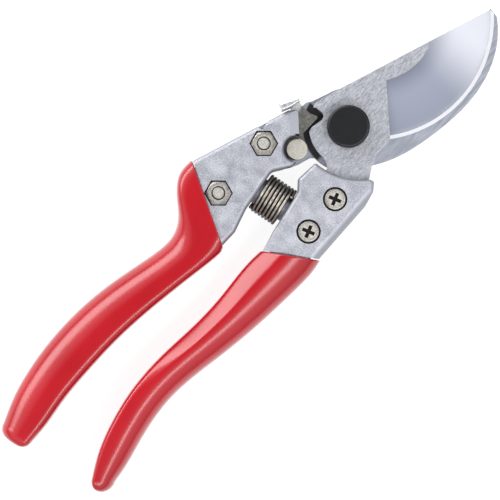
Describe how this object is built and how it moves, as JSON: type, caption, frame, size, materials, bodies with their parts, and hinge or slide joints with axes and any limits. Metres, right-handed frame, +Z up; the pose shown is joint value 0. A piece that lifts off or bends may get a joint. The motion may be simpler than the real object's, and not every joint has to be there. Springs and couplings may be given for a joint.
{
  "type": "pruning shears",
  "caption": "Bypass pruning shears with dipped grips, a coil return spring and a thumb latch, closed and latched, lying flat.",
  "frame": {"origin": "on the surface the shears lie on, under the middle of their overall box", "axes": "+Y towards the blade tips, +Z up from the surface, which is the front of the tool, +X towards the handle that carries the cutting blade"},
  "size_m": [0.0512, 0.1988, 0.0178],
  "materials": {
    "cast_aluminium": "satin, tumbled casting",
    "red_coating": "glossy dipped coating",
    "counter_steel": "satin",
    "blade_steel": "satin with a polished grind",
    "black_cap": "satin",
    "spring_wire": "dark oiled",
    "latch_steel": "satin",
    "plated_steel": "satin nickel plate"
  },
  "bodies": {
    "left_side": {"left_handle": "cast_aluminium", "left_grip": "red_coating", "counter_blade": "counter_steel", "upper_counter_bolt": "plated_steel", "lower_counter_bolt": "plated_steel", "upper_counter_nut": "plated_steel", "lower_counter_nut": "plated_steel", "pivot_bolt": "plated_steel", "pivot_washer": "plated_steel", "pivot_nut": "plated_steel", "pivot_cap": "black_cap", "latch_pin": "plated_steel", "latch_washer": "plated_steel", "return_spring": "spring_wire"},
    "right_side": {"right_handle": "cast_aluminium", "right_grip": "red_coating", "cutting_blade": "blade_steel", "upper_cutter_screw": "plated_steel", "lower_cutter_screw": "plated_steel", "upper_cutter_nut": "plated_steel", "lower_cutter_nut": "plated_steel"},
    "latch": {"latch_lever": "latch_steel"}
  },
  "joints": [
    {"name": "blade_pivot", "type": "hinge", "parent": "left_side", "child": "right_side", "pos_m": [0.00298, 0.04256, 0.0082], "axis": [0, 0, 1], "range_deg": [0, 24], "deforming": ["return_spring"]},
    {"name": "latch_pivot", "type": "hinge", "parent": "left_side", "child": "latch", "pos_m": [-0.00382, 0.02676, 0.0082], "axis": [0, 0, 1], "range_deg": [0, 33.6]}
  ],
  "couplings": [
    {"joint": "latch_pivot", "follows": "blade_pivot", "ratio": 1.4}
  ]
}
